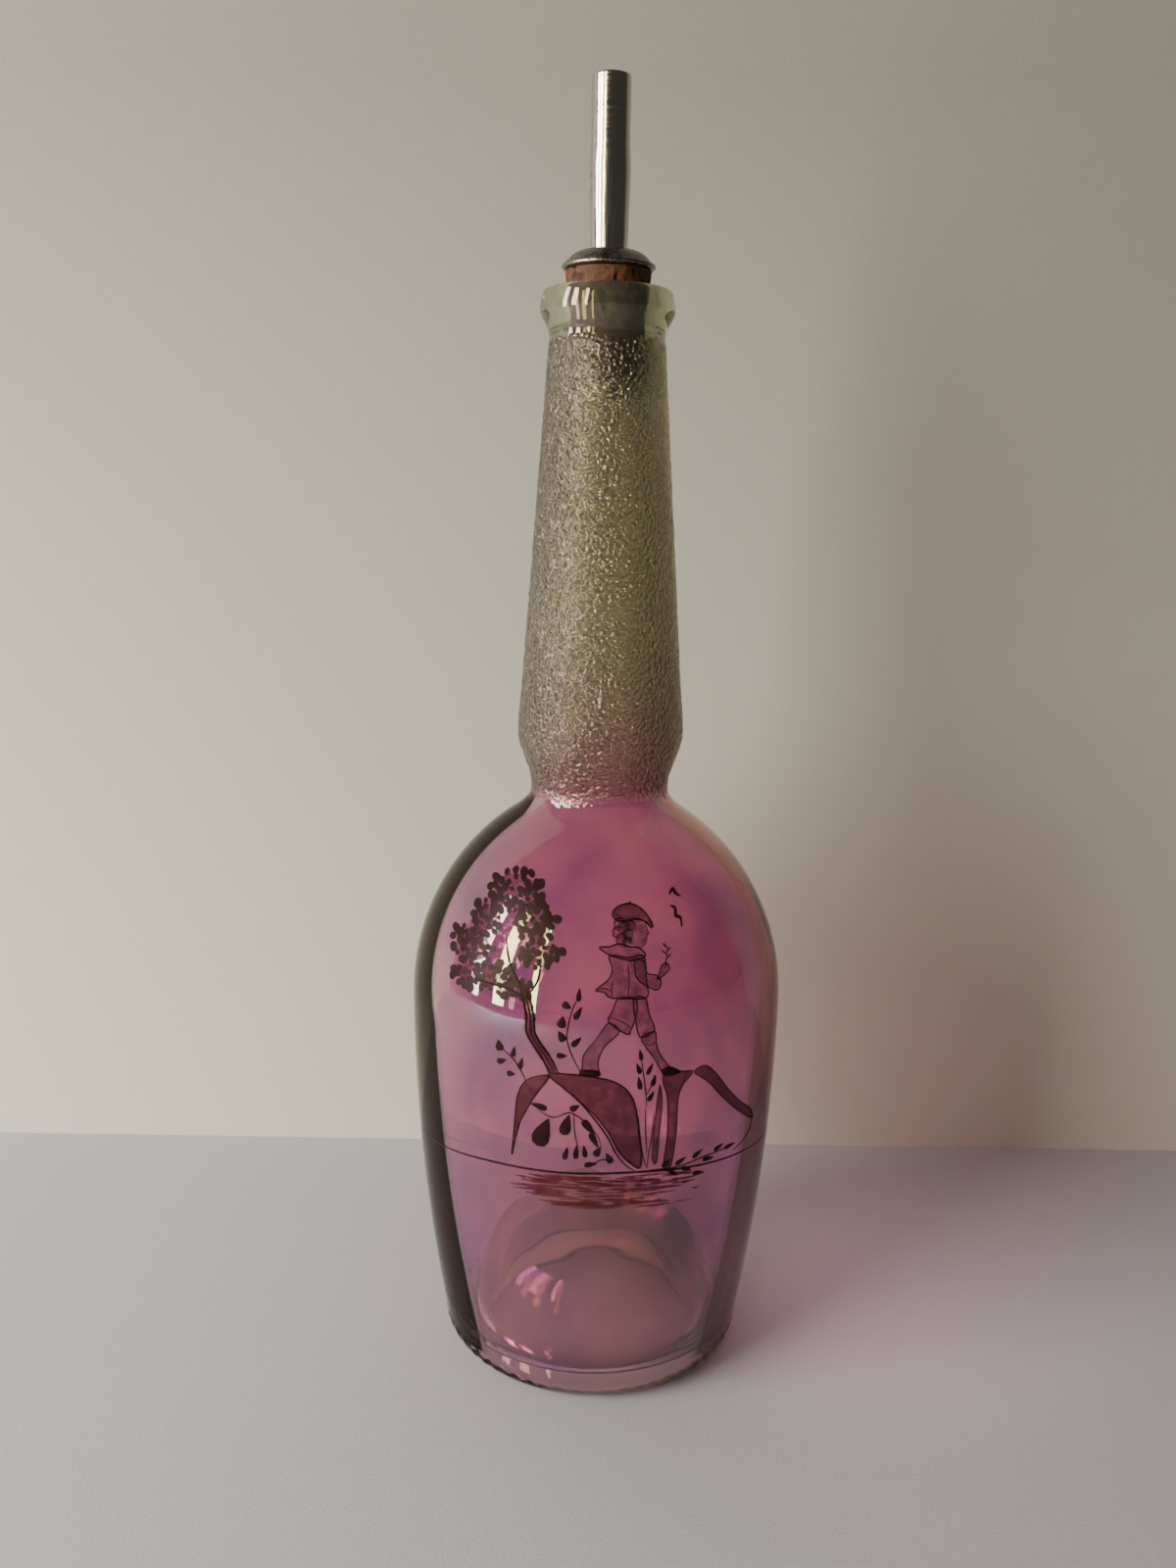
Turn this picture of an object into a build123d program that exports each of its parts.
"""Antique decorated glass bottle with a cork-and-metal pouring stopper.

Frame: origin at the centre of the standing ring, on the plane the bottle stands on.
+Z runs up the bottle's axis, and the painted side faces -Y. All lengths are in millimetres.
"""

import os
from math import sqrt

from build123d import *

# ---------------------------------------------------------------- driving dimensions: glass
BODY_R = 44.0            # widest radius of the body
BELLY_Z = 89.0           # height of the widest ring
BODY_ARC_R = 465.0       # side of the body, below the widest ring
SHOULDER_ARC_R = 53.0    # shoulder, above the widest ring
WALL = 3.6               # body wall thickness
HEEL_TOP_Z = 5.5         # height where the heel radius meets the side
STANDING_R_OUT = 31.0    # flat standing ring, outer radius
STANDING_R_IN = 28.6     # flat standing ring, inner radius

WAIST_R, WAIST_Z = 15.95, 139.0     # narrow ring at the foot of the neck
BULGE_R, BULGE_Z = 19.15, 152.0     # swelling above it
CONE_TOP_R, CONE_TOP_Z = 12.75, 238.6
NECK_SLOPE = 0.0735                 # radius lost per millimetre of height, on the neck's cone
CONE_FOOT_Z = 162.0

LIP_R = 14.8             # widest radius of the lip ring
LIP_LOW_R, LIP_LOW_Z = 14.1, 242.4        # top of the bevel under the ring
LIP_WIDE_Z = 244.4
LIP_CORNER_R = 14.35
BOTTLE_H = 248.7
MOUTH_R = 9.05           # bore at the mouth
MOUTH_STRAIGHT = 20.0    # depth of the straight bore
NECK_WALL = 4.1

PUNT_TOP_Z = 32.5        # inner crown of the push-up in the base
PUNT_GLASS = 4.5         # glass thickness at that crown
TROUGH_R, TROUGH_Z = 31.2, 7.3      # lowest place inside, round the push-up
TROUGH_TOP_Z = 9.6
TROUGH_IN_R = 28.8         # where the push-up rises from the trough

# ---------------------------------------------------------------- driving dimensions: pourer
CORK_TOP_R, CORK_TOP_Z = 9.4, 252.8
CORK_FOOT_Z = 229.6
CORK_TAPER = 0.09        # radius lost per millimetre of depth
TUBE_R = 4.1             # outer radius of the tube through the cork
TUBE_BORE_R = 3.7
TUBE_SHOULDER_R, TUBE_SHOULDER_Z = 4.45, 273.2
SPOUT_R = 4.18           # turned-down upper stretch of the tube
SPOUT_FOOT_Z = 278.0
SPOUT_TOP_Z = 291.5
TAIL_Z = 224.0           # lower end of the tube, below the cork
TAIL_FLARE_R = 4.75
RUNNING_GAP = 0.05       # radial play of the tube in the cork
CAP_R = 10.2
CAP_LOW_Z = CORK_TOP_Z + RUNNING_GAP
CAP_RISE = 4.0           # from the rim's underside to the dome's crown at the tube
CAP_SHEET = 0.9
BREATHER_R = 1.0
BREATHER_BORE_R = 0.7
BREATHER_LOW_Z, BREATHER_TOP_Z = 190.0, 288.5
WASHER_R, WASHER_T = 6.6, 0.9

# ---------------------------------------------------------------- driving dimensions: enamel
ENAMEL_T = 0.25          # height of the fired enamel on the glass
ENAMEL_GAP = 0.02        # keeps the paint's own solid clear of the glass solid
GROUND_LINE_Z = 52.0
GROUND_LINE_W = 0.55
GROUND_LINE_REACH = 41.0   # the line ends here, left and right of the middle
DESIGN_RISE = 12.57        # the flat design is laid this much higher at its middle height,
DESIGN_MID_Z = 85.0
DESIGN_PINCH = 0.00171     # less towards its top and foot,
DESIGN_SAG = 0.0018        # and it sags towards the sides, as the brush followed the glass
DESIGN_SAG_STEEP = 7e-7

# ---------------------------------------------------------------- derived values
BODY_ARC_X = BODY_R - BODY_ARC_R
SHOULDER_ARC_X = BODY_R - SHOULDER_ARC_R
NECK_BORE_R = WAIST_R - 3.9
BULGE_BORE_R = BULGE_R - NECK_WALL - 0.2


def body_side_x(z, offset=0.0):
    """Radius of the body's side below the widest ring, offset outwards."""
    return BODY_ARC_X + sqrt((BODY_ARC_R + offset) ** 2 - (z - BELLY_Z) ** 2)


def shoulder_x(z, offset=0.0):
    """Radius of the shoulder above the widest ring, offset outwards."""
    return SHOULDER_ARC_X + sqrt((SHOULDER_ARC_R + offset) ** 2 - (z - BELLY_Z) ** 2)


def side_arc(z_low, z_high, radius_at, offset=0.0):
    """Arc of the body or shoulder outline between two heights."""
    z_mid = (z_low + z_high) / 2
    points = [(radius_at(z, offset), z) for z in (z_low, z_mid, z_high)]
    return ThreePointArc(*points)


def cone_x(z):
    """Outer radius of the neck's cone."""
    return CONE_TOP_R + NECK_SLOPE * (CONE_TOP_Z - z)


def cork_x(z):
    """Radius of the tapered cork."""
    return CORK_TOP_R - CORK_TAPER * (CORK_TOP_Z - z)


# ---------------------------------------------------------------- bottle glass
SHOULDER_END_Z = 133.5
SHOULDER_BORE_END_Z = 130.0
UP = (0, 1)
DOWN = (0, -1)
LIP_TOP_R = 13.45
MOUTH_EDGE_R = 10.1
BORE_FOOT_Z = BOTTLE_H - MOUTH_STRAIGHT

with BuildPart() as bottle_glass:
    with BuildSketch(Plane.XZ):
        with BuildLine():
            # outside, from the standing ring up
            Line((STANDING_R_IN, 0), (STANDING_R_OUT, 0))
            Spline(
                (STANDING_R_OUT, 0),
                (body_side_x(HEEL_TOP_Z), HEEL_TOP_Z),
                tangents=[(1, 0), (0.25, 1)],
            )
            side_arc(HEEL_TOP_Z, BELLY_Z, body_side_x)
            side_arc(BELLY_Z, SHOULDER_END_Z, shoulder_x)
            Spline(
                (shoulder_x(SHOULDER_END_Z), SHOULDER_END_Z),
                (WAIST_R, WAIST_Z),
                tangents=[(-1.5, 1), UP],
            )
            Spline((WAIST_R, WAIST_Z), (BULGE_R, BULGE_Z), tangents=[UP, UP])
            Spline(
                (BULGE_R, BULGE_Z),
                (cone_x(CONE_FOOT_Z), CONE_FOOT_Z),
                tangents=[UP, (-NECK_SLOPE, 1)],
            )
            Line((cone_x(CONE_FOOT_Z), CONE_FOOT_Z), (CONE_TOP_R, CONE_TOP_Z))
            # lip ring
            Spline(
                (CONE_TOP_R, CONE_TOP_Z),
                (LIP_LOW_R, LIP_LOW_Z),
                (LIP_R, LIP_WIDE_Z),
                tangents=[(-NECK_SLOPE, 1), UP],
            )
            Line((LIP_R, LIP_WIDE_Z), (LIP_CORNER_R, BOTTLE_H - 1.1))
            ThreePointArc(
                (LIP_CORNER_R, BOTTLE_H - 1.1), (14.05, BOTTLE_H - 0.35), (LIP_TOP_R, BOTTLE_H)
            )
            Line((LIP_TOP_R, BOTTLE_H), (MOUTH_EDGE_R, BOTTLE_H))
            ThreePointArc(
                (MOUTH_EDGE_R, BOTTLE_H), (9.38, BOTTLE_H - 0.35), (MOUTH_R, BOTTLE_H - 1.1)
            )
            # inside, from the mouth down
            Line((MOUTH_R, BOTTLE_H - 1.1), (MOUTH_R, BORE_FOOT_Z))
            Spline(
                (MOUTH_R, BORE_FOOT_Z),
                (12.0, 196.0),
                (BULGE_BORE_R, BULGE_Z + 1),
                tangents=[DOWN, DOWN],
            )
            Spline((BULGE_BORE_R, BULGE_Z + 1), (NECK_BORE_R, WAIST_Z - 1), tangents=[DOWN, DOWN])
            Spline(
                (NECK_BORE_R, WAIST_Z - 1),
                (shoulder_x(SHOULDER_BORE_END_Z, -WALL), SHOULDER_BORE_END_Z),
                tangents=[DOWN, (1.45, -1)],
            )
            side_arc(SHOULDER_BORE_END_Z, BELLY_Z, shoulder_x, -WALL)
            side_arc(BELLY_Z, TROUGH_TOP_Z, body_side_x, -WALL)
            # trough and push-up, inner face
            ThreePointArc(
                (body_side_x(TROUGH_TOP_Z, -WALL), TROUGH_TOP_Z),
                (TROUGH_R, TROUGH_Z),
                (TROUGH_IN_R, TROUGH_TOP_Z),
            )
            Spline(
                (TROUGH_IN_R, TROUGH_TOP_Z),
                (27.2, 17.6),
                (24.7, 24.0),
                (19.2, 28.7),
                (0, PUNT_TOP_Z),
                tangents=[(-0.1, 1), (-1, 0)],
            )
            Line((0, PUNT_TOP_Z), (0, PUNT_TOP_Z - PUNT_GLASS))
            # push-up, underside
            Spline(
                (0, PUNT_TOP_Z - PUNT_GLASS),
                (14.4, 25.2),
                (19.4, 22.0),
                (22.2, 16.8),
                (24.9, 7.0),
                (STANDING_R_IN, 0),
                tangents=[(1, 0), (1, -0.3)],
            )
        make_face()
    revolve(axis=Axis.Z)
bottle_glass.part.label = "bottle_glass"

# ---------------------------------------------------------------- enamel painting
# Each painted motif is an outline seen from the front, cut from a thin layer on the glass.
PAINT_LOW_Z, PAINT_HIGH_Z = 44.0, 131.0
LAYER_OUT = ENAMEL_GAP + ENAMEL_T

with BuildPart() as paint_layer:
    with BuildSketch(Plane.XZ):
        with BuildLine():
            side_arc(PAINT_LOW_Z, BELLY_Z, body_side_x, LAYER_OUT)
            side_arc(BELLY_Z, PAINT_HIGH_Z, shoulder_x, LAYER_OUT)
            Line(
                (shoulder_x(PAINT_HIGH_Z, LAYER_OUT), PAINT_HIGH_Z),
                (shoulder_x(PAINT_HIGH_Z, ENAMEL_GAP), PAINT_HIGH_Z),
            )
            side_arc(PAINT_HIGH_Z, BELLY_Z, shoulder_x, ENAMEL_GAP)
            side_arc(BELLY_Z, PAINT_LOW_Z, body_side_x, ENAMEL_GAP)
            Line(
                (body_side_x(PAINT_LOW_Z, ENAMEL_GAP), PAINT_LOW_Z),
                (body_side_x(PAINT_LOW_Z, LAYER_OUT), PAINT_LOW_Z),
            )
        make_face()
    revolve(axis=Axis.Z)


def lay(x, z):
    """Place on the bottle's front of a point of the flat design."""
    rise = DESIGN_RISE - DESIGN_PINCH * (z - DESIGN_MID_Z) ** 2
    return (x, z + rise - DESIGN_SAG * x**2 - DESIGN_SAG_STEEP * x**4)


def blob(x, z, half_width, half_height, turn=0.0):
    """Oval dab of paint at a place of the design."""
    with Locations(Location(lay(x, z), turn)):
        Ellipse(half_width, half_height)


def patch(*corners):
    """Straight-edged area of paint between corners of the design."""
    Polygon(*[lay(*corner) for corner in corners], align=None)


def leaf(x, z, length, turn):
    """Pointed oval leaf, a third as wide as it is long."""
    blob(x, z, length / 2, length / 6, turn)


GROUND_LINE_STEPS = 20
line_xs = [GROUND_LINE_REACH * (2 * i / GROUND_LINE_STEPS - 1) for i in range(GROUND_LINE_STEPS + 1)]
with BuildPart() as enamel_ground_line:
    with BuildSketch(Plane.XZ):
        patch(
            *[(x, GROUND_LINE_Z + GROUND_LINE_W / 2) for x in line_xs],
            *[(x, GROUND_LINE_Z - GROUND_LINE_W / 2) for x in reversed(line_xs)],
        )
    extrude(amount=BODY_R + 2)
    add(paint_layer.part, mode=Mode.INTERSECT)
enamel_ground_line.part.label = "enamel_ground_line"

with BuildPart() as enamel_tree_canopy:
    with BuildSketch(Plane.XZ):
        canopy_lobes = [
            (-18.0, 110.2, 6.6, 4.6, 12),
            (-13.6, 104.8, 5.4, 5.2, 0),
            (-22.6, 103.6, 6.4, 5.4, 0),
            (-27.4, 98.6, 5.6, 4.6, -20),
            (-15.4, 97.4, 8.2, 4.2, 0),
            (-24.6, 93.2, 8.6, 3.8, 8),
            (-9.6, 98.4, 3.4, 2.6, -15),
        ]
        for lobe in canopy_lobes:
            blob(*lobe)
    extrude(amount=BODY_R + 2)
    add(paint_layer.part, mode=Mode.INTERSECT)
enamel_tree_canopy.part.label = "enamel_tree_canopy"

with BuildPart() as enamel_tree_trunk:
    with BuildSketch(Plane.XZ):
        patch(
            (-16.4, 89.0), (-14.2, 89.0), (-13.1, 85.4), (-12.7, 81.8), (-9.8, 78.0), (-6.6, 73.6),
            (-11.0, 73.6), (-12.4, 77.6), (-15.1, 81.0), (-15.4, 85.6),
        )
    extrude(amount=BODY_R + 2)
    add(paint_layer.part, mode=Mode.INTERSECT)
enamel_tree_trunk.part.label = "enamel_tree_trunk"

# a strolling child in a plain jacket, short trousers and a soft flat hat, seen from the side
with BuildPart() as enamel_figure:
    with BuildSketch(Plane.XZ):
        blob(7.2, 103.2, 3.3, 3.5)
        blob(6.6, 106.5, 5.2, 2.3, -6)
        patch((3.4, 100.6), (9.2, 100.6), (10.6, 96.4), (10.4, 89.6), (1.0, 91.0), (2.6, 96.4))
        patch((8.8, 98.6), (10.6, 95.6), (12.6, 93.6), (15.4, 96.4), (14.2, 97.4), (12.4, 95.6),
              (10.4, 98.4))
        patch((4.2, 90.4), (9.8, 89.8), (11.9, 82.8), (8.6, 81.6), (6.6, 84.6), (4.4, 82.2),
              (1.8, 84.6))
        patch((2.0, 84.8), (4.4, 82.6), (1.6, 78.6), (0.6, 73.8), (-3.2, 73.8), (-3.2, 75.0),
              (-1.6, 75.6), (-1.4, 79.6))
        patch((8.9, 82.0), (11.8, 82.6), (12.4, 79.4), (14.6, 75.2), (17.8, 74.2), (17.6, 73.2),
              (13.2, 73.4), (10.2, 79.0))
    extrude(amount=BODY_R + 2)
    add(paint_layer.part, mode=Mode.INTERSECT)
enamel_figure.part.label = "enamel_figure"

with BuildPart() as enamel_rocks:
    with BuildSketch(Plane.XZ):
        patch((-10.4, 73.2), (-14.8, 71.8), (-17.0, 66.2), (-18.0, 54.4), (-16.4, 54.2), (-12.8, 68.0),
              (-5.2, 68.4), (-0.8, 65.4), (3.0, 61.2), (5.2, 55.8), (10.0, 53.2), (8.9, 64.8),
              (7.0, 69.4), (3.8, 72.0), (-4.2, 73.0))
        patch((11.0, 66.2), (14.4, 72.6), (20.8, 73.2), (17.8, 69.0), (17.6, 60.0), (16.5, 52.6),
              (12.6, 52.8), (11.0, 56.0))
        patch((20.8, 73.2), (23.4, 74.2), (26.2, 72.0), (31.0, 65.2), (36.2, 60.0), (35.8, 57.9),
              (30.8, 62.6), (26.0, 68.4))
    extrude(amount=BODY_R + 2)
    add(paint_layer.part, mode=Mode.INTERSECT)
enamel_rocks.part.label = "enamel_rocks"

with BuildPart() as enamel_plants:
    with BuildSketch(Plane.XZ):
        # sprig left of the trunk, plant before the child, branch across the rocks, sprig at right
        sprigs = [
            (-21.4, 77.4, 5.2, 160), (-18.4, 75.2, 5.0, 150), (-16.8, 72.2, 5.2, 150),
            (-4.6, 89.6, 4.4, 60), (-6.4, 87.2, 4.4, 150), (-4.6, 85.6, 4.4, 40),
            (-7.2, 83.4, 4.4, 160), (-5.0, 80.4, 4.4, 30), (-6.8, 77.6, 4.4, 150),
            (-9.2, 62.8, 6.4, 20), (-11.4, 58.8, 6.6, 100), (-5.2, 62.6, 6.0, 70),
            (-0.6, 61.6, 6.4, -40), (-6.2, 55.6, 4.6, 80), (-2.2, 56.0, 4.6, 100),
            (1.8, 55.2, 4.6, 110),
            (19.2, 53.9, 5.4, 20), (23.6, 53.0, 5.4, -8), (28.4, 52.6, 5.0, 6),
            (10.0, 74.4, 4.4, 80), (11.8, 71.6, 4.2, 60),
        ]
        for sprig in sprigs:
            leaf(*sprig)
    extrude(amount=BODY_R + 2)
    add(paint_layer.part, mode=Mode.INTERSECT)
    add(enamel_rocks.part, mode=Mode.SUBTRACT)
    add(enamel_ground_line.part, mode=Mode.SUBTRACT)
enamel_plants.part.label = "enamel_plants"

with BuildPart() as enamel_birds:
    with BuildSketch(Plane.XZ):
        for bird_x, bird_z in [(16.3, 109.2), (17.0, 104.9)]:
            blob(bird_x, bird_z, 2.2, 0.55, -25)
            blob(bird_x + 0.2, bird_z + 0.5, 0.6, 1.9, -35)
    extrude(amount=BODY_R + 2)
    add(paint_layer.part, mode=Mode.INTERSECT)
enamel_birds.part.label = "enamel_birds"

with BuildPart() as enamel_ground_wash:
    with BuildSketch(Plane.XZ):
        # loose brush strokes below the ground line
        strokes = [
            (-14.0, 48.6, 4.6, 0.7, 20), (-7.0, 46.0, 5.4, 0.6, -6), (3.6, 45.4, 4.6, 0.6, 4),
            (14.4, 47.6, 4.6, 0.7, 12), (21.6, 46.4, 3.4, 0.7, -40), (18.4, 42.2, 4.6, 0.6, 8),
            (-19.6, 43.6, 3.6, 0.6, -12),
        ]
        for stroke in strokes:
            blob(*stroke)
    extrude(amount=BODY_R + 2)
    add(paint_layer.part, mode=Mode.INTERSECT)
enamel_ground_wash.part.label = "enamel_ground_wash"

# ---------------------------------------------------------------- cork
CORK_EDGE = 0.5
CORK_BORE_R = TUBE_R + RUNNING_GAP

with BuildPart() as cork_stopper:
    with BuildSketch(Plane.XZ):
        with BuildLine():
            Polyline(
                (CORK_BORE_R, CORK_FOOT_Z),
                (cork_x(CORK_FOOT_Z) - CORK_EDGE, CORK_FOOT_Z),
                (cork_x(CORK_FOOT_Z), CORK_FOOT_Z + CORK_EDGE),
                (CORK_TOP_R, CORK_TOP_Z),
                (CORK_BORE_R, CORK_TOP_Z),
                close=True,
            )
        make_face()
    revolve(axis=Axis.Z)
cork_stopper.part.label = "cork_stopper"

# ---------------------------------------------------------------- pouring tube
with BuildPart() as spout_tube:
    with BuildSketch(Plane.XZ):
        with BuildLine():
            Polyline(
                (TAIL_FLARE_R - 0.55, TAIL_Z),
                (TAIL_FLARE_R, TAIL_Z),
                (TUBE_R, TAIL_Z + 1.4),
                (TUBE_R, CAP_LOW_Z + CAP_RISE + 1.0),
                (TUBE_SHOULDER_R, TUBE_SHOULDER_Z),
                (TUBE_SHOULDER_R, TUBE_SHOULDER_Z + 1.6),
                (SPOUT_R, SPOUT_FOOT_Z),
                (SPOUT_R, SPOUT_TOP_Z - 0.4),
            )
            ThreePointArc(
                (SPOUT_R, SPOUT_TOP_Z - 0.4),
                ((SPOUT_R + TUBE_BORE_R) / 2, SPOUT_TOP_Z),
                (TUBE_BORE_R, SPOUT_TOP_Z - 0.4),
            )
            Polyline(
                (TUBE_BORE_R, SPOUT_TOP_Z - 0.4),
                (TUBE_BORE_R, TAIL_Z + 1.4),
                (TAIL_FLARE_R - 0.55, TAIL_Z),
            )
        make_face()
    revolve(axis=Axis.Z)
spout_tube.part.label = "spout_tube"

# ---------------------------------------------------------------- domed cap soldered to the tube
CAP_RIM_H = 1.15
with BuildPart() as pourer_cap:
    with BuildSketch(Plane.XZ):
        with BuildLine():
            Line((TUBE_R, CAP_LOW_Z + CAP_RISE), (TUBE_R + 0.6, CAP_LOW_Z + CAP_RISE))
            Spline(
                (TUBE_R + 0.6, CAP_LOW_Z + CAP_RISE),
                (7.6, CAP_LOW_Z + 3.15),
                (CAP_R - 0.35, CAP_LOW_Z + CAP_RIM_H),
                tangents=[(1, -0.2), (1, -0.8)],
            )
            ThreePointArc(
                (CAP_R - 0.35, CAP_LOW_Z + CAP_RIM_H),
                (CAP_R, CAP_LOW_Z + 0.55),
                (CAP_R - 0.55, CAP_LOW_Z),
            )
            Line((CAP_R - 0.55, CAP_LOW_Z), (CAP_R - 1.6, CAP_LOW_Z))
            Spline(
                (CAP_R - 1.6, CAP_LOW_Z),
                (7.3, CAP_LOW_Z + 3.15 - CAP_SHEET),
                (TUBE_R + 0.6, CAP_LOW_Z + CAP_RISE - CAP_SHEET),
                tangents=[(-1, 1), (-1, 0.2)],
            )
            Line(
                (TUBE_R + 0.6, CAP_LOW_Z + CAP_RISE - CAP_SHEET),
                (TUBE_R, CAP_LOW_Z + CAP_RISE - CAP_SHEET),
            )
            Line(
                (TUBE_R, CAP_LOW_Z + CAP_RISE - CAP_SHEET),
                (TUBE_R, CAP_LOW_Z + CAP_RISE),
            )
        make_face()
    revolve(axis=Axis.Z)
pourer_cap.part.label = "pourer_cap"

# ---------------------------------------------------------------- air tube inside the pouring tube
BREATHER_X = -(TUBE_BORE_R - BREATHER_R)

with BuildPart() as breather_tube:
    with BuildSketch(Plane.XY.offset(BREATHER_LOW_Z)):
        with Locations((BREATHER_X, 0)):
            Circle(BREATHER_R)
            Circle(BREATHER_BORE_R, mode=Mode.SUBTRACT)
    extrude(amount=BREATHER_TOP_Z - BREATHER_LOW_Z)
breather_tube.part.label = "breather_tube"

# ---------------------------------------------------------------- washer under the cork
WASHER_LOW_Z = CORK_FOOT_Z - RUNNING_GAP - WASHER_T

with BuildPart() as retaining_washer:
    with BuildSketch(Plane.XY.offset(WASHER_LOW_Z)):
        Circle(WASHER_R)
        Circle(TUBE_R, mode=Mode.SUBTRACT)
    extrude(amount=WASHER_T)
    chamfer(retaining_washer.edges().filter_by(GeomType.CIRCLE).group_by(SortBy.RADIUS)[-1], 0.15)
retaining_washer.part.label = "retaining_washer"

# ---------------------------------------------------------------- files, one per piece
PIECES = [
    bottle_glass,
    enamel_tree_canopy,
    enamel_tree_trunk,
    enamel_figure,
    enamel_rocks,
    enamel_plants,
    enamel_birds,
    enamel_ground_wash,
    enamel_ground_line,
    cork_stopper,
    spout_tube,
    pourer_cap,
    breather_tube,
    retaining_washer,
]

os.makedirs("parts", exist_ok=True)
for piece in PIECES:
    export_step(piece.part, f"parts/{piece.part.label}.step")

print(f"mouth clearance round the cork: {MOUTH_R - cork_x(BOTTLE_H - 1.1):.2f} mm")
